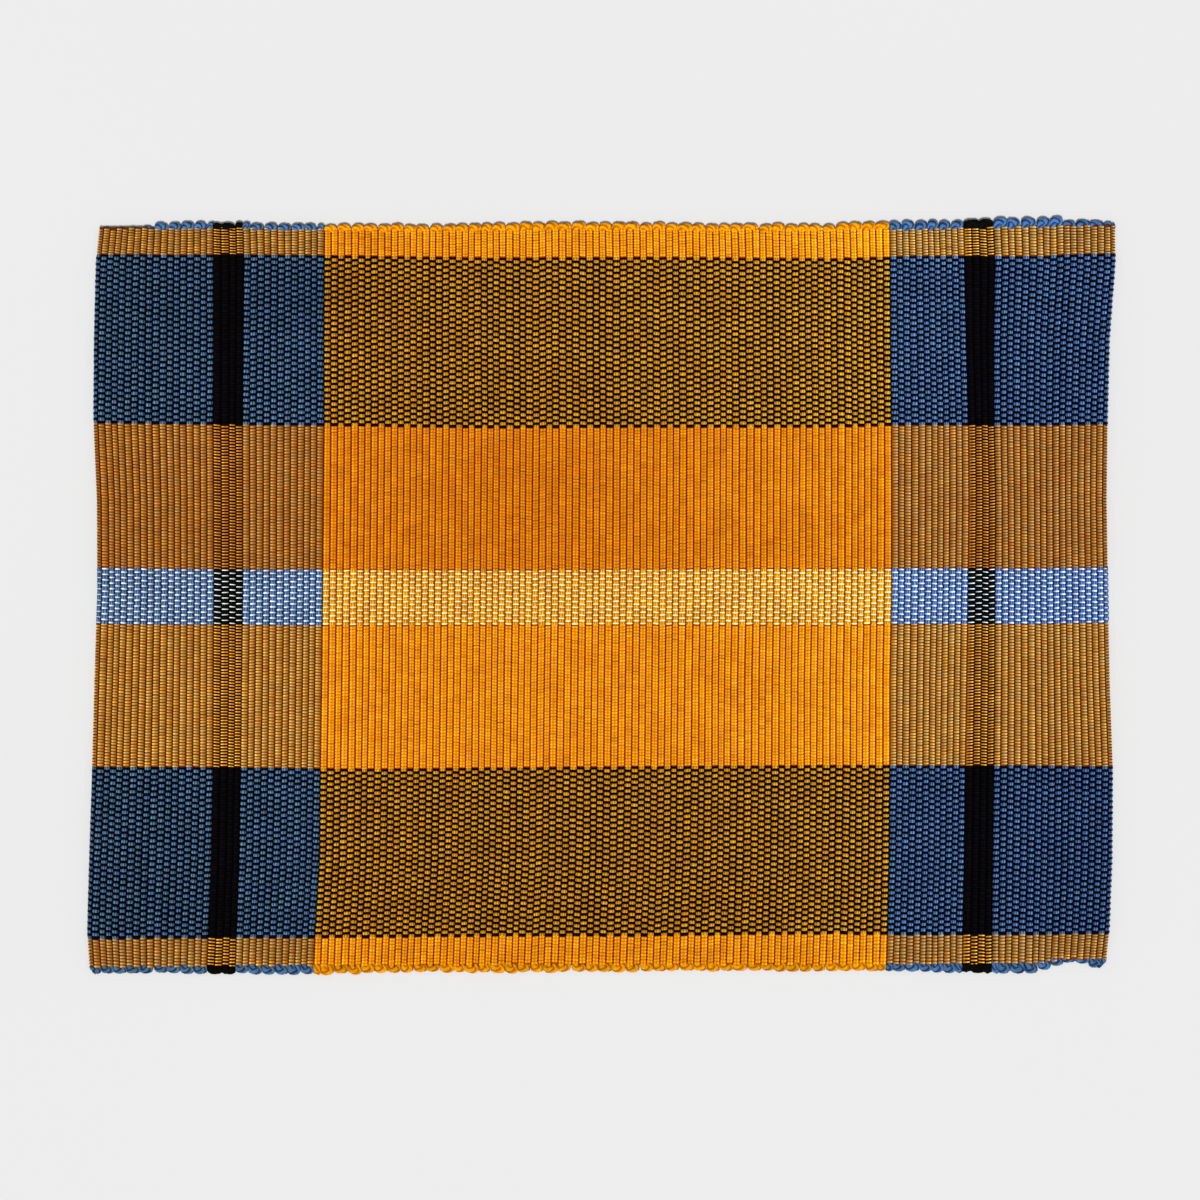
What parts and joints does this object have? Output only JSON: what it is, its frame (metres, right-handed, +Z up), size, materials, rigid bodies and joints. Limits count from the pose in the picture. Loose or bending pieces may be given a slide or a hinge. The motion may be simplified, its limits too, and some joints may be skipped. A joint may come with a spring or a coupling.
{
  "type": "fabric placemat",
  "caption": "Rectangular placemat of ribbed woven cotton with crossing colour stripes, small yarn loops along its long edges and a folded hem at each end; lies flat under a place setting.",
  "frame": {"origin": "centre of the mat's outline, on the surface it lies on", "axes": "+X along the mat, parallel to its long edges; +Y across it, along the ribs; +Z up, out of its face"},
  "size_m": [0.483, 0.3556, 0.0054],
  "materials": {
    "gold_yarn": "dull dyed cotton yarn, warp and weft",
    "blue_yarn": "dull dyed cotton weft cord",
    "black_yarn": "dull dyed cotton yarn, warp and weft",
    "white_yarn": "dull undyed cotton warp yarn"
  },
  "bodies": {
    "root": {"mat_cloth": "gold_yarn"}
  },
  "joints": []
}
